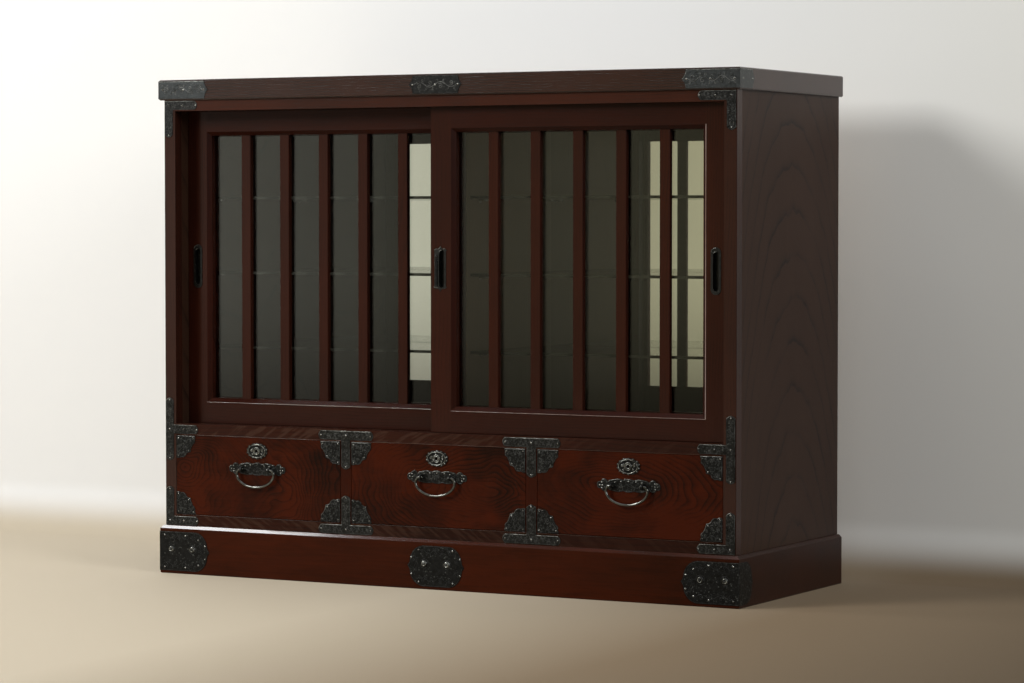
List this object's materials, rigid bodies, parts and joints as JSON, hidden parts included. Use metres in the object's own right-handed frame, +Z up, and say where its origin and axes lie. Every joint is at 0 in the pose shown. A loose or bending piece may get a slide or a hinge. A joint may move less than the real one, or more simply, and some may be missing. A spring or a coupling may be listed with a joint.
{
  "type": "kitchen cabinet",
  "caption": "Japanese mizuya kitchen cabinet with latticed glass sliding doors over drawers, on a chamfered plinth, with engraved black iron fittings and bail handles",
  "frame": {"origin": "middle of the footprint, on the floor", "axes": "+X right seen from the front, +Y back (the front faces -Y), +Z up"},
  "size_m": [1.364, 0.517, 1.053],
  "materials": {
    "lacquered_wood": "satin",
    "plain_wood": "matte",
    "iron": "satin",
    "bare_iron": "worn",
    "glass": "gloss",
    "mirror": "gloss"
  },
  "bodies": {
    "case": {"back_battens": "plain_wood", "back_mirrors": "mirror", "back_panel": "plain_wood", "case_floor": "plain_wood", "centre_plates": "iron", "corner_straps": "iron", "display_ceiling": "plain_wood", "display_floor": "plain_wood", "display_partition": "plain_wood", "divider_straps": "iron", "door_sill": "lacquered_wood", "drawer_dividers": "lacquered_wood", "drawer_kickers": "plain_wood", "drawer_partitions": "plain_wood", "drawer_runners": "plain_wood", "drawer_stops": "plain_wood", "front_stiles": "lacquered_wood", "lower_rail": "lacquered_wood", "plinth_back": "plain_wood", "plinth_blocks": "plain_wood", "plinth_corner_plates": "iron", "plinth_ends": "lacquered_wood", "plinth_front": "lacquered_wood", "plinth_nails": "bare_iron", "shelf_pins": "bare_iron", "shelves_left": "glass", "shelves_right": "glass", "side_left": "lacquered_wood", "side_right": "lacquered_wood", "tee_straps": "iron", "top_board": "lacquered_wood", "top_corner_plates": "iron", "upper_rail": "lacquered_wood"},
    "left_door": {"left_door_bars": "lacquered_wood", "left_door_beads": "plain_wood", "left_door_pane": "glass", "left_door_pulls": "iron", "left_door_rails": "lacquered_wood", "left_door_stiles": "lacquered_wood"},
    "right_door": {"right_door_bars": "lacquered_wood", "right_door_beads": "plain_wood", "right_door_pane": "glass", "right_door_pulls": "iron", "right_door_rails": "lacquered_wood", "right_door_stiles": "lacquered_wood"},
    "drawer_left": {"drawer_left_box": "plain_wood", "drawer_left_front": "lacquered_wood", "drawer_left_handle_plate": "iron", "drawer_left_iron": "iron"},
    "drawer_left_bail": {"drawer_left_bail": "bare_iron"},
    "drawer_centre": {"drawer_centre_box": "plain_wood", "drawer_centre_front": "lacquered_wood", "drawer_centre_handle_plate": "iron", "drawer_centre_iron": "iron"},
    "drawer_centre_bail": {"drawer_centre_bail": "bare_iron"},
    "drawer_right": {"drawer_right_box": "plain_wood", "drawer_right_front": "lacquered_wood", "drawer_right_handle_plate": "iron", "drawer_right_iron": "iron"},
    "drawer_right_bail": {"drawer_right_bail": "bare_iron"}
  },
  "joints": [
    {"name": "left_door_slide", "type": "slide", "parent": "case", "child": "left_door", "axis": [1, 0, 0], "range_m": [0, 0.617]},
    {"name": "right_door_slide", "type": "slide", "parent": "case", "child": "right_door", "axis": [-1, 0, 0], "range_m": [0, 0.617]},
    {"name": "drawer_left_slide", "type": "slide", "parent": "case", "child": "drawer_left", "axis": [0, -1, 0], "range_m": [0, 0.33]},
    {"name": "drawer_centre_slide", "type": "slide", "parent": "case", "child": "drawer_centre", "axis": [0, -1, 0], "range_m": [0, 0.33]},
    {"name": "drawer_right_slide", "type": "slide", "parent": "case", "child": "drawer_right", "axis": [0, -1, 0], "range_m": [0, 0.33]},
    {"name": "drawer_left_bail_hinge", "type": "hinge", "parent": "drawer_left", "child": "drawer_left_bail", "pos_m": [-0.43733, -0.253, 0.23], "axis": [-1, 0, 0], "range_deg": [0, 110]},
    {"name": "drawer_centre_bail_hinge", "type": "hinge", "parent": "drawer_centre", "child": "drawer_centre_bail", "pos_m": [0, -0.253, 0.23], "axis": [-1, 0, 0], "range_deg": [0, 110]},
    {"name": "drawer_right_bail_hinge", "type": "hinge", "parent": "drawer_right", "child": "drawer_right_bail", "pos_m": [0.43733, -0.253, 0.23], "axis": [-1, 0, 0], "range_deg": [0, 110]}
  ]
}
